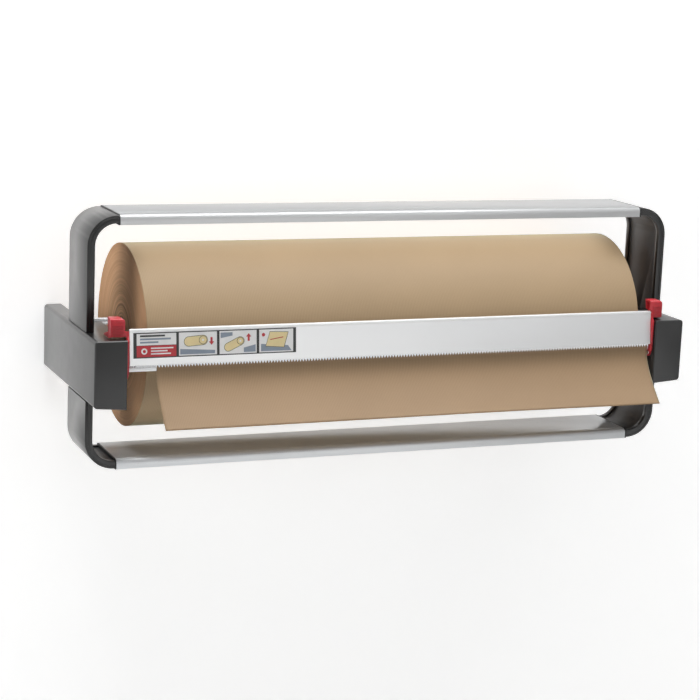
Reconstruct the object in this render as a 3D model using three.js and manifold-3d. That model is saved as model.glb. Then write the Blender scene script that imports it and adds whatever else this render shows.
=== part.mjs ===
// Gift wrap dispenser for a wall: a roll of kraft paper on a loose steel axle between two
// side housings, inside a frame of two rails and four bent arms, with a toothed bar across
// the front that tears the paper and tilts forward on two thumb levers.
// Millimetres. +X is to the right, +Y to the wall and +Z up. The origin is on the wall
// plane, midway between the housings, at the height of the axle.

import * as THREE from 'three';
import { mergeVertices } from 'three/addons/utils/BufferGeometryUtils.js';
import Module from 'manifold-3d';

const wasm = await Module();
wasm.setup();

// Clearance between pieces that touch, and how far a cutting tool runs past a face
const SEAT_GAP = 0.3;
const OVERRUN = 2;

// Paper roll, its cardboard core and the axle that it hangs on
const ROLL_LENGTH = 750;
const ROLL_RADIUS = 128;
const ROLL_SHIFT = 8;
const CORE_BORE_RADIUS = 25;
const CORE_WALL = 4;
const ROLL_WALL_CLEARANCE = 5;
const ROLL_END_CLEARANCE = 25;
const ROLL_FRONT_CLEARANCE = 22;
const AXLE_RADIUS = 5;
const AXLE_REACH = 16;
const AXLE_CHAMFER = 1;
const AXLE_Y = -ROLL_RADIUS - ROLL_WALL_CLEARANCE;
const ROLL_Z = AXLE_RADIUS + SEAT_GAP - CORE_BORE_RADIUS;

// Side housings: deep enough in front to hold the axle, and slimmer behind it
const HOUSING_INNER_X = ROLL_LENGTH / 2 + ROLL_END_CLEARANCE;
const HOUSING_WIDTH = 45;
const AXLE_PROUD = 3;
const HOUSING_TOP = AXLE_RADIUS - AXLE_PROUD;
const HOUSING_HEIGHT = 94;
const HOUSING_WALL = 3;
const HOUSING_DRAFT = 3;
const HOUSING_EDGE_RADIUS = 5;
const HOUSING_FRONT_BEVEL = 1.2;
const HOUSING_LEG_WIDTH = 24;
const BLOCK_BEHIND_AXLE = 11.5;
const HOUSING_WALL_CLEARANCE = 0.5;
const HOUSING_OUTER_X = HOUSING_INNER_X + HOUSING_WIDTH;
const HOUSING_BOTTOM = HOUSING_TOP - HOUSING_HEIGHT;
const FRONT_Y = AXLE_Y - ROLL_RADIUS - ROLL_FRONT_CLEARANCE;
const AXLE_HALF_LENGTH = HOUSING_INNER_X + AXLE_REACH;
const LEG_INNER_X = HOUSING_OUTER_X - HOUSING_LEG_WIDTH;
const BLOCK_REAR_Y = AXLE_Y + BLOCK_BEHIND_AXLE;

// Bent steel side plate that closes each housing towards the roll
const PLATE_THICKNESS = 2;
const PLATE_RECESS = 0.6;
const PLATE_MARGIN = 0.6;
const PLATE_X = HOUSING_INNER_X + PLATE_RECESS;
const PLATE_OUTER_X = PLATE_X + PLATE_THICKNESS;
const LEG_PLATE_X = LEG_INNER_X + PLATE_RECESS;
const LEG_PLATE_OUTER_X = LEG_PLATE_X + PLATE_THICKNESS;

// Posts inside the housing that the side plate is screwed to
const POST_RADIUS = 4.2;
const POST_BORE_RADIUS = 2.3;
const POST_BORE_DEPTH = 12;
const POST_SETBACK = 45;
const POST_Y = FRONT_Y + POST_SETBACK;
const POST_EDGE_MARGIN = 16;
const POST_HEIGHTS = [HOUSING_TOP - POST_EDGE_MARGIN, HOUSING_BOTTOM + POST_EDGE_MARGIN];
const POST_X = PLATE_OUTER_X + SEAT_GAP;

// Saddle with an open top that the end of the axle drops into
const SADDLE_SLOT_CLEARANCE = 0.4;
const SADDLE_WALL = 3;
const SADDLE_FLOOR = 9;
const SADDLE_END_STOP = 2.5;
const SADDLE_SINK = 0.4;
const SADDLE_SLOT_RADIUS = AXLE_RADIUS + SADDLE_SLOT_CLEARANCE;
const SADDLE_HALF_DEPTH = SADDLE_SLOT_RADIUS + SADDLE_WALL;
const SADDLE_INNER_X = PLATE_OUTER_X + SEAT_GAP;
const SADDLE_STOP_X = AXLE_HALF_LENGTH + AXLE_CHAMFER;
const SADDLE_OUTER_X = SADDLE_STOP_X + SADDLE_END_STOP;

// Wall bracket inside the slim rear of each housing
const BRACKET_THICKNESS = 3;
const BRACKET_FLANGE = 34;
const BRACKET_END_MARGIN = 9;
const BRACKET_HEIGHT = HOUSING_HEIGHT - 2 * BRACKET_END_MARGIN;
const BRACKET_HOLE_RADIUS = 2.75;
const BRACKET_HOLE_MARGIN = 13;
const BRACKET_HOLE_SPACING = BRACKET_HEIGHT - 2 * BRACKET_HOLE_MARGIN;
const BRACKET_X = LEG_PLATE_OUTER_X + SEAT_GAP;
const BRACKET_OUTER_X = HOUSING_OUTER_X - HOUSING_WALL - SEAT_GAP;
const BRACKET_MID_Z = (HOUSING_TOP + HOUSING_BOTTOM) / 2;

// Frame arms: a moulded shell, open towards the roll, with a steel band inside it
const ARM_INSET = 4.5;
const ARM_OUTER_X = HOUSING_OUTER_X - ARM_INSET;
const ARM_THICKNESS = 10.5;
const ARM_CORNER_RADIUS = 41;
const ARM_SETBACK = 62;
const ARM_FRONT_Y = FRONT_Y + ARM_SETBACK;
const ARM_DEPTH = 96;
const ARM_REAR_Y = ARM_FRONT_Y + ARM_DEPTH;
const ARM_STUB = 1.5;
const SHELL_WALL = 3;
const SHELL_RIM = 8;
const SHELL_LINE_WIDTH = 1.2;
const SHELL_LINE_DEPTH = 0.7;
const SHELL_LINE_INSET = 3.2;
const BAND_THICKNESS = 5;
const BAND_FOOT = 24;
const BAND_TONGUE = 18;
const BAND_FRONT_Y = ARM_FRONT_Y + SHELL_RIM + SEAT_GAP;
const BAND_REAR_Y = ARM_REAR_Y - SHELL_RIM - SEAT_GAP;
const BAND_OUTER_INSET = SHELL_WALL + SEAT_GAP;
const BAND_INNER_INSET = BAND_OUTER_INSET + BAND_THICKNESS;
const BAND_OUTER_X = ARM_OUTER_X - BAND_OUTER_INSET;
const BAND_INNER_X = ARM_OUTER_X - BAND_INNER_INSET;
const ARM_CENTRE_X = ARM_OUTER_X - ARM_CORNER_RADIUS;

// Socket in the housing that takes the foot of an arm
const SOCKET_WALL = 4.5;
const SOCKET_FLOOR = 4;
const SOCKET_X = BAND_INNER_X - SEAT_GAP - SOCKET_WALL;

// Rails: aluminium channels that face down, joined to the arms by end plugs
const RAIL_HEIGHT = 14.5;
const ROLL_TOP_CLEARANCE = 38.5;
const ROLL_BOTTOM_CLEARANCE = 27.5;
const TOP_RAIL_Z = ROLL_Z + ROLL_RADIUS + ROLL_TOP_CLEARANCE + RAIL_HEIGHT;
const BOTTOM_RAIL_Z = ROLL_Z - ROLL_RADIUS - ROLL_BOTTOM_CLEARANCE;
const RAIL_WALL = 2.5;
const RAIL_LEDGE = 12;
const RAIL_EDGE_RADIUS = 1.5;
const RAIL_NOSE_RADIUS = 7;
const RAIL_GROOVE_WIDTH = 1.8;
const RAIL_GROOVE_DEPTH = 1.2;
const PLUG_FLANGE = 1.8;
const PLUG_LENGTH = 22;
const RAIL_HALF_LENGTH = ARM_CENTRE_X - ARM_STUB - PLUG_FLANGE - 2 * SEAT_GAP;
const RAIL_TO_ARM = 1.5;

// Guide bar that the paper is pressed against
const GUIDE_SETBACK = 11.6;
const GUIDE_FRONT_Y = FRONT_Y + GUIDE_SETBACK;
const GUIDE_DEPTH = 8.4;
const GUIDE_TOP_DROP = 35.8;
const GUIDE_TOP = -GUIDE_TOP_DROP;
const GUIDE_HEIGHT = 7.7;
const GUIDE_EDGE_RADIUS = 2.5;
const GUIDE_SPIGOT_RADIUS = 2.5;
const GUIDE_SPIGOT_SETBACK = 5;
const GUIDE_NUT_RADIUS = 4.6;
const GUIDE_NUT_THICKNESS = 3.2;
const GUIDE_SPIGOT_PROUD = 1.5;
const GUIDE_SPIGOT_Y = GUIDE_FRONT_Y + GUIDE_SPIGOT_SETBACK;
const GUIDE_SPIGOT_Z = GUIDE_TOP - GUIDE_HEIGHT / 2;

// Pivot of the tilting bar
const PIVOT_SETBACK = 14;
const PIVOT_DROP = 47.5;
const PIVOT_Y = FRONT_Y + PIVOT_SETBACK;
const PIVOT_Z = -PIVOT_DROP;
const PIN_RADIUS = 3;
const PIN_PROUD = 4.2;
const PIN_REACH = 21;
const PIN_INNER_X = HOUSING_INNER_X - PIN_PROUD;
const PIN_OUTER_X = HOUSING_INNER_X + PIN_REACH;
const PIN_GROOVE_DEPTH = 0.6;
const PIN_GROOVE_WIDTH = 1.2;
const PIN_GROOVE_SETBACK = 1.5;
const SPRING_WIRE_RADIUS = 0.6;
const SPRING_COIL_RADIUS = 4.6;
const SPRING_COILS = 4;
const SPRING_COIL_SPACING = 1.7;
const SPRING_LEG = 13;
const SPRING_CLEARANCE = 0.6;
const SPRING_X = PLATE_OUTER_X + SEAT_GAP + GUIDE_NUT_THICKNESS + GUIDE_SPIGOT_PROUD
  + SPRING_CLEARANCE + SPRING_WIRE_RADIUS;

// Play beside the levers, and the thickness of their legs, which stand at the bar's ends
const LEVER_SIDE_GAP = 0.8;
const LEVER_PLATE_THICKNESS = 3;

// Toothed bar: an extrusion that leans back at the top, and a toothed blade behind its foot
const BAR_HALF_LENGTH = HOUSING_INNER_X - 2 * LEVER_SIDE_GAP - LEVER_PLATE_THICKNESS;
const BAR_SETBACK = 6;
const BAR_FOOT_DROP = 33.5;
const BAR_FOOT_Y = FRONT_Y + BAR_SETBACK;
const BAR_FOOT_Z = -BAR_FOOT_DROP;
const BAR_HEIGHT = 49.3;
const BAR_TILT = 0.101;
const BAR_WALL = 2;
const BAR_BEAD_HEIGHT = 4.6;
const BAR_BEAD_PROUD = 0.8;
const BAR_BEAD_DEPTH = 3.5;
const BAR_CHANNEL_DEPTH = 6.5;
const BAR_CHANNEL_BASE = 12;
const BAR_CHANNEL_TOP = 32;
const BAR_HOOK_TOP = 10.6;
const BAR_HOOK_TIP = 5;
const BAR_HOOK_WALL = 1.4;
const BLADE_THICKNESS = 1.1;
const BLADE_END_MARGIN = 1.4;
const BLADE_HALF_LENGTH = BAR_HALF_LENGTH - BLADE_END_MARGIN;
const BLADE_TOOTH_SPACING = 4.2;
const BLADE_TEETH = Math.round(2 * BLADE_HALF_LENGTH / BLADE_TOOTH_SPACING);
const BLADE_TOOTH_DEPTH = 4;
const BLADE_TIP_BELOW_BAR = 4.2;
const BLADE_SLOT = BLADE_THICKNESS + 2 * SEAT_GAP;

// Instruction label on the bar
const LABEL_LENGTH = 230;
const LABEL_END_MARGIN = 5;
const LABEL_BASE = 9.6;
const LABEL_HEIGHT = 34.2;
const LABEL_THICKNESS = 0.3;
const LABEL_GAP = 0.1;

// Thumb levers at the ends of the bar
const LEVER_PLATE_OUTER_X = HOUSING_INNER_X - LEVER_SIDE_GAP;
const LEVER_PLATE_X = LEVER_PLATE_OUTER_X - LEVER_PLATE_THICKNESS;
const LEVER_HEAD_WIDTH = 20;
const RIGHT_HEAD_OVERHANG = 6.5;
const LEFT_HEAD_SETOUT = 1.5;
const LEVER_WALL = 2.6;
const LEVER_SETBACK = 10;
const LEVER_FRONT_Y = FRONT_Y + LEVER_SETBACK;
const LEVER_TOP_Z = 30.5;
const LEVER_FRONT_LIFT = 3.4;
const LEVER_BASE_LIFT = 1.2;
const LEVER_HEEL = 7;
const LEVER_TOP_DEPTH = 16;
const LEVER_WAIST_DEPTH = 11.5;
const LEVER_WAIST_Z = 12.5;
const LEVER_FIN_DEPTH = 34;
const LEVER_FIN_THICKNESS = 1.6;
const LEVER_TOP_RADIUS = 4;
const LEVER_SIDE_RADIUS = 6;
const LEVER_LEG_SETBACK = 5.8;
const LEVER_LEG_FRONT_Y = FRONT_Y + LEVER_LEG_SETBACK;
const LEVER_LEG_DEPTH = 7.4;
const LEVER_BOSS_RADIUS = 5.2;
const LEVER_RIB_COUNT = 8;
const LEVER_RIB_SPACING = 2.1;
const LEVER_RIB_HEIGHT = 1.1;
const LEVER_RIB_PROUD = 1.4;
const LEVER_RIB_MARGIN = 2.5;
const LEVER_RIB_BASE = 0.6;
const LEVER_SPIGOT_LENGTH = 9;
const LEVER_SPIGOT_GAP = 0.4;

// Loose end of the paper, from the roll past the guide bar and out below the blade
const SHEET_THICKNESS = 0.5;
const SHEET_SHIFT = 18;
const SHEET_START_DROP = 20.5;
const SHEET_GUIDE_CLEARANCE = 0.35;
const SHEET_CURL = 38;
const SHEET_DROP = 113.5;
const SHEET_END_Y = FRONT_Y - SHEET_CURL;
const SHEET_END_Z = -SHEET_DROP;
const SHEET_STEPS = 14;

// Screws
const SCREW_RADIUS = 2;
const SCREW_HEAD_RADIUS = 4;
const SCREW_HEAD_HEIGHT = 2.4;
const SCREW_HOLE_RADIUS = SCREW_RADIUS + SEAT_GAP;
const SCREW_DRIVE_RADIUS = 1.5;
const SCREW_DRIVE_DEPTH = 1.2;

// Facets
const ROLL_SEGMENTS = 96;
const ROUND_SEGMENTS = 24;
const SMALL_SEGMENTS = 12;
const CURVE_SEGMENTS = 8;
const HEX_SEGMENTS = 6;

const material = (color, roughness, metalness) =>
  new THREE.MeshStandardMaterial({ color, roughness, metalness });
const housingGrey = material(0x4a4b4d, 0.5, 0.1);
const plateBlack = material(0x262626, 0.55, 0.3);
const bandBlack = material(0x2b2b2c, 0.4, 0.3);
const trimBlack = material(0x232322, 0.5, 0.0);
const aluminium = material(0xd0d1d3, 0.35, 0.8);
const steel = material(0xc8c9cb, 0.25, 0.9);
const leverRed = material(0xb0202a, 0.4, 0.0);
const labelWhite = material(0xe4e2dc, 0.4, 0.0);
const kraft = material(0xb89b72, 0.85, 0.0);
const cardboard = material(0x8d6b47, 0.9, 0.0);

// Solids
function toSolid(geometry) {
  const bare = geometry.clone();
  bare.deleteAttribute('normal');
  bare.deleteAttribute('uv');
  const merged = mergeVertices(bare);
  return new wasm.Manifold(new wasm.Mesh({
    numProp: 3,
    vertProperties: new Float32Array(merged.attributes.position.array),
    triVerts: new Uint32Array(merged.index.array),
  }));
}

function toGeometry(solid) {
  const mesh = solid.getMesh();
  const geometry = new THREE.BufferGeometry();
  geometry.setAttribute('position', new THREE.BufferAttribute(mesh.vertProperties, 3));
  geometry.setIndex(new THREE.BufferAttribute(mesh.triVerts, 1));
  geometry.computeVertexNormals();
  return geometry;
}

function join(base, ...others) {
  return toGeometry(others.reduce((sum, other) => sum.add(toSolid(other)), toSolid(base)));
}

function cut(base, ...tools) {
  return toGeometry(tools.reduce((rest, tool) => rest.subtract(toSolid(tool)), toSolid(base)));
}

// Mirrors a piece of the right side to the left and turns its faces out again
function mirrored(geometry) {
  const copy = geometry.index ? geometry.toNonIndexed() : geometry.clone();
  const position = copy.attributes.position;
  for (let corner = 0; corner < position.count; corner += 3) {
    const swap = new THREE.Vector3().fromBufferAttribute(position, corner + 1);
    position.setXYZ(corner + 1, -position.getX(corner + 2), position.getY(corner + 2),
      position.getZ(corner + 2));
    position.setXYZ(corner + 2, -swap.x, swap.y, swap.z);
    position.setX(corner, -position.getX(corner));
  }
  copy.deleteAttribute('normal');
  copy.deleteAttribute('uv');
  const merged = mergeVertices(copy);
  merged.computeVertexNormals();
  return merged;
}

function box(x0, x1, y0, y1, z0, z1) {
  const geometry = new THREE.BoxGeometry(x1 - x0, y1 - y0, z1 - z0);
  geometry.translate((x0 + x1) / 2, (y0 + y1) / 2, (z0 + z1) / 2);
  return geometry;
}

const plain = { bevelEnabled: false, curveSegments: CURVE_SEGMENTS };

// Extrusions of an outline drawn in the (Y, Z), (X, Z) or (X, Y) plane
function extrudeX(outline, x0, x1) {
  const geometry = new THREE.ExtrudeGeometry(outline, { ...plain, depth: x1 - x0 });
  geometry.applyMatrix4(new THREE.Matrix4().makeBasis(
    new THREE.Vector3(0, 1, 0), new THREE.Vector3(0, 0, 1), new THREE.Vector3(1, 0, 0)));
  geometry.translate(x0, 0, 0);
  return geometry;
}

function extrudeY(outline, y0, y1, bevel = 0) {
  const bevelled = {
    bevelEnabled: bevel > 0, bevelThickness: bevel, bevelSize: bevel, bevelOffset: -bevel,
    bevelSegments: 1,
  };
  const geometry = new THREE.ExtrudeGeometry(outline,
    { ...plain, ...bevelled, depth: y1 - y0 - 2 * bevel });
  geometry.rotateX(Math.PI / 2);
  geometry.translate(0, y1 - bevel, 0);
  return geometry;
}

function extrudeZ(outline, z0, z1) {
  const geometry = new THREE.ExtrudeGeometry(outline, { ...plain, depth: z1 - z0 });
  geometry.translate(0, 0, z0);
  return geometry;
}

function outlineOf(points) {
  return new THREE.Shape(points.map(([a, b]) => new THREE.Vector2(a, b)));
}

// Turned piece with its axis along X: profile rows are [radius, x]
function turned(profile, y, z, segments = ROUND_SEGMENTS) {
  const points = profile.map(([radius, x]) => new THREE.Vector2(radius, x));
  const geometry = new THREE.LatheGeometry(points, segments);
  geometry.rotateZ(-Math.PI / 2);
  geometry.translate(0, y, z);
  return geometry;
}

function rod(radius, x0, x1, y, z, segments = SMALL_SEGMENTS) {
  return turned([[0, x0], [radius, x0], [radius, x1], [0, x1]], y, z, segments);
}

// Tube along X with a closed wall between two radii
function sleeve(inner, outer, x0, x1, y, z, segments) {
  return turned([[inner, x0], [outer, x0], [outer, x1], [inner, x1], [inner, x0]], y, z,
    segments);
}

// Screw along X with its head at the low end and a round drive hole
function screwAlongX(headX, endX, y, z) {
  const faceX = headX - SCREW_HEAD_HEIGHT;
  return turned([
    [0, faceX + SCREW_DRIVE_DEPTH],
    [SCREW_DRIVE_RADIUS, faceX + SCREW_DRIVE_DEPTH],
    [SCREW_DRIVE_RADIUS, faceX],
    [SCREW_HEAD_RADIUS - SCREW_HEAD_HEIGHT / 2, faceX],
    [SCREW_HEAD_RADIUS, headX - SCREW_HEAD_HEIGHT / 2],
    [SCREW_HEAD_RADIUS, headX],
    [SCREW_RADIUS, headX],
    [SCREW_RADIUS, endX - SCREW_RADIUS],
    [0, endX],
  ], y, z, SMALL_SEGMENTS);
}

// Side housings
function housingSection(inset) {
  const innerX = HOUSING_INNER_X - (inset > 0 ? OVERRUN : 0);
  const outerX = HOUSING_OUTER_X - inset;
  const top = HOUSING_TOP - inset;
  const innerBottom = HOUSING_BOTTOM + inset;
  const outerBottom = innerBottom + HOUSING_DRAFT;
  const radius = HOUSING_EDGE_RADIUS - inset;
  const outline = new THREE.Shape();
  outline.moveTo(innerX, innerBottom);
  outline.lineTo(outerX - radius, outerBottom);
  outline.absarc(outerX - radius, outerBottom + radius, radius, -Math.PI / 2, 0);
  outline.lineTo(outerX, top - radius);
  outline.absarc(outerX - radius, top - radius, radius, 0, Math.PI / 2);
  outline.lineTo(innerX, top);
  outline.closePath();
  return outline;
}

function housing() {
  const shell = extrudeY(housingSection(0), FRONT_Y, -HOUSING_WALL_CLEARANCE,
    HOUSING_FRONT_BEVEL);
  const cavity = extrudeY(housingSection(HOUSING_WALL), FRONT_Y + HOUSING_WALL, OVERRUN);
  const recess = box(HOUSING_INNER_X - OVERRUN, LEG_INNER_X, BLOCK_REAR_Y, OVERRUN,
    HOUSING_BOTTOM - OVERRUN, HOUSING_TOP + OVERRUN);
  const tray = cut(shell, cavity, recess);

  const footX0 = BAND_INNER_X - SEAT_GAP;
  const footX1 = BAND_OUTER_X + SEAT_GAP;
  const socketY0 = BAND_FRONT_Y - SOCKET_WALL;
  const socketY1 = BAND_REAR_Y + SOCKET_WALL;
  const socketReach = BAND_FOOT + SOCKET_FLOOR;
  const sockets = [
    box(SOCKET_X, HOUSING_OUTER_X - HOUSING_WALL / 2, socketY0, socketY1,
      HOUSING_TOP - socketReach, HOUSING_TOP - HOUSING_WALL / 2),
    box(SOCKET_X, HOUSING_OUTER_X - HOUSING_WALL / 2, socketY0, socketY1,
      HOUSING_BOTTOM + HOUSING_DRAFT + HOUSING_WALL / 2, HOUSING_BOTTOM + socketReach),
  ];
  const pockets = [
    box(footX0, footX1, BAND_FRONT_Y - SEAT_GAP, BAND_REAR_Y + SEAT_GAP,
      HOUSING_TOP - BAND_FOOT, HOUSING_TOP + OVERRUN),
    box(footX0, footX1, BAND_FRONT_Y - SEAT_GAP, BAND_REAR_Y + SEAT_GAP,
      HOUSING_BOTTOM - OVERRUN, HOUSING_BOTTOM + BAND_FOOT),
  ];
  const posts = POST_HEIGHTS.map((z) =>
    rod(POST_RADIUS, POST_X, HOUSING_OUTER_X - HOUSING_WALL / 2, POST_Y, z));
  const postBores = POST_HEIGHTS.map((z) =>
    rod(POST_BORE_RADIUS, POST_X - OVERRUN, POST_X + POST_BORE_DEPTH, POST_Y, z));
  const screwHoles = [armScrewZ(true), armScrewZ(false)].map((z) =>
    rod(SCREW_HOLE_RADIUS, SOCKET_X - OVERRUN, ARM_OUTER_X + SEAT_GAP,
      (ARM_FRONT_Y + ARM_REAR_Y) / 2, z));
  const saddleNotch = box(HOUSING_INNER_X - OVERRUN, SADDLE_OUTER_X + SEAT_GAP,
    AXLE_Y - SADDLE_HALF_DEPTH - SEAT_GAP, AXLE_Y + SADDLE_HALF_DEPTH + SEAT_GAP,
    HOUSING_TOP - HOUSING_WALL - OVERRUN, HOUSING_TOP + OVERRUN);
  return cut(join(tray, ...sockets, ...posts), ...pockets, ...screwHoles, ...postBores,
    saddleNotch);
}

function armScrewZ(upper) {
  const middleOfFoot = BAND_FOOT / 2;
  return upper ? HOUSING_TOP - middleOfFoot : HOUSING_BOTTOM + middleOfFoot;
}

// Side plate, bent in plan to follow the housing's step
function sidePlate() {
  const frontY = FRONT_Y + HOUSING_WALL + SEAT_GAP;
  const stepY = BLOCK_REAR_Y - PLATE_RECESS;
  const rearY = -HOUSING_WALL_CLEARANCE - SEAT_GAP;
  const plan = outlineOf([
    [PLATE_X, frontY],
    [PLATE_OUTER_X, frontY],
    [PLATE_OUTER_X, stepY - PLATE_THICKNESS],
    [LEG_PLATE_OUTER_X, stepY - PLATE_THICKNESS],
    [LEG_PLATE_OUTER_X, rearY],
    [LEG_PLATE_X, rearY],
    [LEG_PLATE_X, stepY],
    [PLATE_X, stepY],
  ]);
  const blank = extrudeZ(plan, HOUSING_BOTTOM + HOUSING_WALL + PLATE_MARGIN + HOUSING_DRAFT / 2,
    HOUSING_TOP - HOUSING_WALL - PLATE_MARGIN);
  const throughX0 = PLATE_X - OVERRUN;
  const throughX1 = PLATE_OUTER_X + SEAT_GAP;
  const axleSlot = box(throughX0, throughX1, AXLE_Y - SADDLE_SLOT_RADIUS,
    AXLE_Y + SADDLE_SLOT_RADIUS, 0, HOUSING_TOP + OVERRUN);
  const axleSeat = rod(SADDLE_SLOT_RADIUS, throughX0, throughX1, AXLE_Y, 0, ROUND_SEGMENTS);
  const pinHole = rod(PIN_RADIUS + SEAT_GAP, throughX0, throughX1, PIVOT_Y, PIVOT_Z,
    ROUND_SEGMENTS);
  const spigotHole = rod(GUIDE_SPIGOT_RADIUS + SEAT_GAP, throughX0, throughX1,
    GUIDE_SPIGOT_Y, GUIDE_SPIGOT_Z);
  const bracketHole = rod(SCREW_HOLE_RADIUS, LEG_PLATE_X - OVERRUN,
    LEG_PLATE_OUTER_X + OVERRUN, bracketScrewY(), BRACKET_MID_Z);
  const postHoles = POST_HEIGHTS.map((z) =>
    rod(SCREW_HOLE_RADIUS, throughX0, throughX1, POST_Y, z));
  return cut(blank, axleSlot, axleSeat, pinHole, spigotHole, bracketHole, ...postHoles);
}

function plateScrew(z) {
  return screwAlongX(PLATE_X - SEAT_GAP, POST_X + POST_BORE_DEPTH - SCREW_RADIUS, POST_Y, z);
}

function axleSaddle() {
  const top = HOUSING_TOP - SADDLE_SINK;
  const block = box(SADDLE_INNER_X, SADDLE_OUTER_X, AXLE_Y - SADDLE_HALF_DEPTH,
    AXLE_Y + SADDLE_HALF_DEPTH, -SADDLE_SLOT_RADIUS - SADDLE_FLOOR, top);
  const slot = box(SADDLE_INNER_X - OVERRUN, SADDLE_STOP_X, AXLE_Y - SADDLE_SLOT_RADIUS,
    AXLE_Y + SADDLE_SLOT_RADIUS, 0, top + OVERRUN);
  const seat = rod(SADDLE_SLOT_RADIUS, SADDLE_INNER_X - OVERRUN, SADDLE_STOP_X, AXLE_Y, 0,
    ROUND_SEGMENTS);
  return cut(block, slot, seat);
}

function bracketScrewY() {
  return -BRACKET_THICKNESS - BRACKET_FLANGE / 2;
}

function wallBracket() {
  const z0 = BRACKET_MID_Z - BRACKET_HEIGHT / 2;
  const z1 = BRACKET_MID_Z + BRACKET_HEIGHT / 2;
  const plan = outlineOf([
    [BRACKET_X, 0],
    [BRACKET_X, -BRACKET_THICKNESS - BRACKET_FLANGE],
    [BRACKET_X + BRACKET_THICKNESS, -BRACKET_THICKNESS - BRACKET_FLANGE],
    [BRACKET_X + BRACKET_THICKNESS, -BRACKET_THICKNESS],
    [BRACKET_OUTER_X, -BRACKET_THICKNESS],
    [BRACKET_OUTER_X, 0],
  ]);
  const screwX = (BRACKET_X + BRACKET_THICKNESS + BRACKET_OUTER_X) / 2;
  const wallHoles = [-BRACKET_HOLE_SPACING / 2, BRACKET_HOLE_SPACING / 2].map((offset) => {
    const hole = new THREE.CylinderGeometry(BRACKET_HOLE_RADIUS, BRACKET_HOLE_RADIUS,
      BRACKET_THICKNESS + 2 * OVERRUN, SMALL_SEGMENTS);
    hole.translate(screwX, -BRACKET_THICKNESS / 2, BRACKET_MID_Z + offset);
    return hole;
  });
  const flangeHole = rod(SCREW_HOLE_RADIUS, BRACKET_X - OVERRUN,
    BRACKET_X + BRACKET_THICKNESS + OVERRUN, bracketScrewY(), BRACKET_MID_Z);
  return cut(extrudeZ(plan, z0, z1), ...wallHoles, flangeHole);
}

function bracketScrew() {
  return screwAlongX(LEG_PLATE_X - SEAT_GAP, BRACKET_X + BRACKET_THICKNESS + SCREW_RADIUS,
    bracketScrewY(), BRACKET_MID_Z);
}

// A strip that rises out of a housing and bends inwards to a rail, drawn in (X, Z) between
// two insets from the arm's outer face. footZ and endX are its two ends.
function bentStrip(upper, outerInset, innerInset, footZ, endX) {
  const way = upper ? 1 : -1;
  const outerZ = upper ? TOP_RAIL_Z - RAIL_TO_ARM : BOTTOM_RAIL_Z - RAIL_HEIGHT + RAIL_TO_ARM;
  const centreZ = outerZ - way * ARM_CORNER_RADIUS;
  const outer = ARM_CORNER_RADIUS - outerInset;
  const inner = ARM_CORNER_RADIUS - innerInset;
  const outline = new THREE.Shape();
  outline.moveTo(ARM_CENTRE_X + outer, footZ);
  outline.lineTo(ARM_CENTRE_X + outer, centreZ);
  outline.absarc(ARM_CENTRE_X, centreZ, outer, 0, way * Math.PI / 2, !upper);
  outline.lineTo(endX, centreZ + way * outer);
  outline.lineTo(endX, centreZ + way * inner);
  outline.absarc(ARM_CENTRE_X, centreZ, inner, way * Math.PI / 2, 0, upper);
  outline.lineTo(ARM_CENTRE_X + inner, footZ);
  outline.closePath();
  return outline;
}

function armBand(upper) {
  const footZ = upper ? HOUSING_TOP - BAND_FOOT + SEAT_GAP
    : HOUSING_BOTTOM + BAND_FOOT - SEAT_GAP;
  const strip = extrudeY(bentStrip(upper, BAND_OUTER_INSET, BAND_INNER_INSET, footZ,
    RAIL_HALF_LENGTH - BAND_TONGUE), BAND_FRONT_Y, BAND_REAR_Y);
  const hole = rod(SCREW_HOLE_RADIUS, SOCKET_X, ARM_OUTER_X,
    (ARM_FRONT_Y + ARM_REAR_Y) / 2, armScrewZ(upper));
  return cut(strip, hole);
}

function armShell(upper) {
  const way = upper ? 1 : -1;
  const footZ = (upper ? HOUSING_TOP : HOUSING_BOTTOM) + way * SEAT_GAP;
  const endX = ARM_CENTRE_X - ARM_STUB;
  const blank = extrudeY(bentStrip(upper, 0, ARM_THICKNESS, footZ, endX),
    ARM_FRONT_Y, ARM_REAR_Y);
  const openFootZ = footZ - way * OVERRUN;
  const openEndX = endX - OVERRUN;
  const channel = extrudeY(bentStrip(upper, SHELL_WALL, ARM_THICKNESS + OVERRUN,
    openFootZ, openEndX), ARM_FRONT_Y + SHELL_RIM, ARM_REAR_Y - SHELL_RIM);
  const lines = [ARM_FRONT_Y, ARM_REAR_Y].map((faceY) =>
    extrudeY(bentStrip(upper, SHELL_LINE_INSET, SHELL_LINE_INSET + SHELL_LINE_WIDTH,
      openFootZ, openEndX), faceY - SHELL_LINE_DEPTH, faceY + SHELL_LINE_DEPTH));
  return cut(blank, channel, ...lines);
}

function armScrew(upper) {
  return screwAlongX(SOCKET_X - SEAT_GAP, ARM_OUTER_X - SCREW_RADIUS,
    (ARM_FRONT_Y + ARM_REAR_Y) / 2, armScrewZ(upper));
}

// Rails
function railOutline(topZ) {
  const front = ARM_FRONT_Y;
  const rear = ARM_REAR_Y;
  const foot = topZ - RAIL_HEIGHT;
  const outline = new THREE.Shape();
  outline.moveTo(front, foot);
  outline.lineTo(rear, foot);
  outline.lineTo(rear, topZ - RAIL_EDGE_RADIUS);
  outline.absarc(rear - RAIL_EDGE_RADIUS, topZ - RAIL_EDGE_RADIUS, RAIL_EDGE_RADIUS, 0,
    Math.PI / 2);
  outline.lineTo(front + RAIL_NOSE_RADIUS, topZ);
  outline.absellipse(front + RAIL_NOSE_RADIUS, topZ - RAIL_NOSE_RADIUS, RAIL_NOSE_RADIUS,
    RAIL_NOSE_RADIUS, Math.PI / 2, Math.PI);
  outline.closePath();
  return outline;
}

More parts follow.
